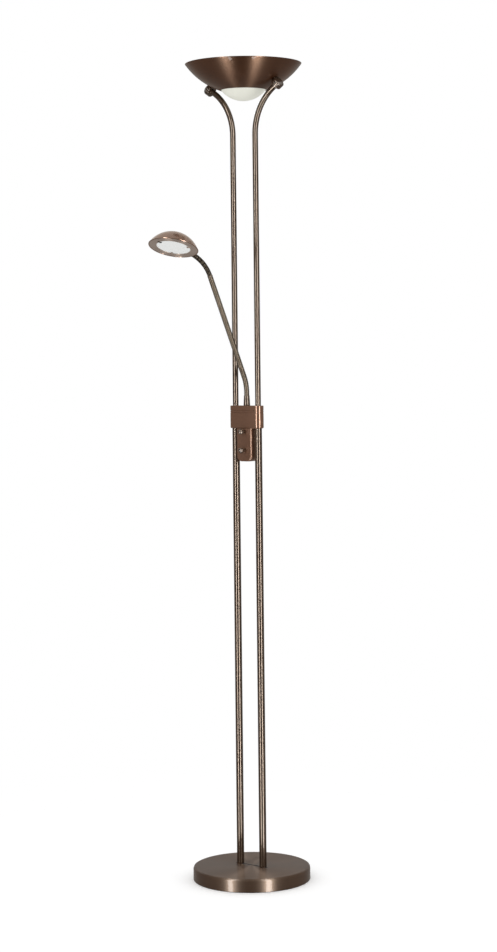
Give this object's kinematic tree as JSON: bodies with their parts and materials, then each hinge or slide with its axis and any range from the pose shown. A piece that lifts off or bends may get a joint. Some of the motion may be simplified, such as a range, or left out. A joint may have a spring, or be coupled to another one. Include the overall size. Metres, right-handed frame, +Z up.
{
  "type": "torchiere floor lamp with reading light",
  "caption": "Floor lamp with twin stems on a round weighted base, an uplighter bowl, a flexible-neck reading light and rotary dimmers.",
  "frame": {"origin": "centre of the base's underside, on the floor", "axes": "+Z up; the two stems stand on the X axis; the knobs, the arm and the reading head face -Y"},
  "size_m": [0.258, 0.4267, 1.8],
  "materials": {
    "brushed_bronze": "brushed steel, plated antique bronze and lacquered",
    "coppery_bronze": "brushed steel, plated bronze, slightly more coppery",
    "dark_bronze": "dark bronze, satin",
    "zinc_steel": "zinc plated",
    "cast_iron": "rough casting, black",
    "pad_foam": "dense foam, matte",
    "black_rubber": "matte",
    "circuit_board": "fibreglass board",
    "pale_plastic": "moulded",
    "frosted_glass": "frosted white, satin",
    "clear_glass": "clear, polished",
    "blackened_steel": "blackened spring steel",
    "bright_aluminium": "anodised, bright",
    "ceramic": "unglazed ceramic"
  },
  "bodies": {
    "stand": {"base_cover": "brushed_bronze", "base_nuts": "zinc_steel", "base_pad": "pad_foam", "base_plate": "zinc_steel", "base_weight": "cast_iron", "bowl_bolts": "zinc_steel", "bowl_saddle_left": "brushed_bronze", "bowl_saddle_right": "brushed_bronze", "bowl_shell": "brushed_bronze", "cable_gland": "black_rubber", "dimmer_lower": "circuit_board", "dimmer_upper": "circuit_board", "glass_diffuser": "frosted_glass", "guard_clips": "zinc_steel", "guard_glass": "clear_glass", "halogen_tube": "clear_glass", "housing_back_cover": "brushed_bronze", "housing_screws": "zinc_steel", "junction_cap": "brushed_bronze", "junction_collar": "brushed_bronze", "junction_nipples": "zinc_steel", "junction_nuts": "zinc_steel", "lamp_bracket": "zinc_steel", "lamp_caps": "ceramic", "lampholders": "ceramic", "locating_strip": "black_rubber", "lower_stem_left": "brushed_bronze", "lower_stem_right": "brushed_bronze", "plate_screws": "zinc_steel", "stem_bushes": "zinc_steel", "stem_nipples": "zinc_steel", "switch_housing": "brushed_bronze", "terminal_block": "pale_plastic", "upper_stem_left": "brushed_bronze", "upper_stem_right": "brushed_bronze"},
    "upper_dial": {"upper_knob": "brushed_bronze", "upper_knob_shaft": "zinc_steel"},
    "lower_dial": {"lower_knob": "brushed_bronze", "lower_knob_shaft": "zinc_steel"},
    "arm": {"arm_socket": "brushed_bronze", "arm_nut": "zinc_steel", "arm_tube": "brushed_bronze", "neck_plug": "dark_bronze"},
    "neck_1": {"gooseneck_1": "dark_bronze"},
    "neck_2": {"gooseneck_2": "dark_bronze"},
    "neck_3": {"gooseneck_3": "dark_bronze"},
    "neck_4": {"gooseneck_4": "dark_bronze"},
    "neck_5": {"gooseneck_5": "dark_bronze"},
    "neck_6": {"gooseneck_6": "dark_bronze"},
    "neck_7": {"gooseneck_7": "dark_bronze"},
    "head": {"gooseneck_8": "dark_bronze", "head_shell": "coppery_bronze", "head_ring": "coppery_bronze", "head_lens": "frosted_glass", "lens_clips": "blackened_steel", "head_reflector": "bright_aluminium", "head_lampholder": "ceramic", "head_bulb": "clear_glass", "head_locknut": "zinc_steel"}
  },
  "joints": [
    {"name": "upper_dial_turn", "type": "hinge", "parent": "stand", "child": "upper_dial", "pos_m": [0, -0.0134, 0.9878], "axis": [0, 1, 0], "range_deg": [0, 270]},
    {"name": "lower_dial_turn", "type": "hinge", "parent": "stand", "child": "lower_dial", "pos_m": [0, -0.0134, 0.9465], "axis": [0, 1, 0], "range_deg": [0, 270]},
    {"name": "arm_swivel", "type": "hinge", "parent": "stand", "child": "arm", "pos_m": [0, 0, 1.045], "axis": [0, 0, 1], "range_deg": [-60, 60]},
    {"name": "neck_tilt_1", "type": "hinge", "parent": "arm", "child": "neck_1", "pos_m": [0, -0.12541, 1.33249], "axis": [1, 0, 0], "range_deg": [-11, 9]},
    {"name": "neck_turn_1", "type": "hinge", "parent": "neck_1", "child": "neck_2", "pos_m": [0, -0.13209, 1.34173], "axis": [0, 0.7677, 0.6408], "range_deg": [-10, 10]},
    {"name": "neck_tilt_2", "type": "hinge", "parent": "neck_2", "child": "neck_3", "pos_m": [0, -0.13999, 1.34996], "axis": [1, 0, 0], "range_deg": [-11, 9]},
    {"name": "neck_turn_2", "type": "hinge", "parent": "neck_3", "child": "neck_4", "pos_m": [0, -0.14887, 1.35711], "axis": [0, 0.5826, 0.8128], "range_deg": [-10, 10]},
    {"name": "neck_tilt_3", "type": "hinge", "parent": "neck_4", "child": "neck_5", "pos_m": [0, -0.15849, 1.36322], "axis": [1, 0, 0], "range_deg": [-11, 9]},
    {"name": "neck_turn_3", "type": "hinge", "parent": "neck_5", "child": "neck_6", "pos_m": [0, -0.16864, 1.36842], "axis": [0, 0.4256, 0.9049], "range_deg": [-10, 10]},
    {"name": "neck_tilt_4", "type": "hinge", "parent": "neck_6", "child": "neck_7", "pos_m": [0, -0.17911, 1.37292], "axis": [1, 0, 0], "range_deg": [-11, 9]},
    {"name": "neck_turn_4", "type": "hinge", "parent": "neck_7", "child": "head", "pos_m": [0, -0.18977, 1.37697], "axis": [0, 0.3487, 0.9372], "range_deg": [-10, 10]}
  ],
  "couplings": [
    {"joint": "neck_tilt_2", "follows": "neck_tilt_1", "ratio": 1},
    {"joint": "neck_turn_2", "follows": "neck_turn_1", "ratio": 1},
    {"joint": "neck_tilt_3", "follows": "neck_tilt_1", "ratio": 1},
    {"joint": "neck_turn_3", "follows": "neck_turn_1", "ratio": 1},
    {"joint": "neck_tilt_4", "follows": "neck_tilt_1", "ratio": 1},
    {"joint": "neck_turn_4", "follows": "neck_turn_1", "ratio": 1}
  ]
}
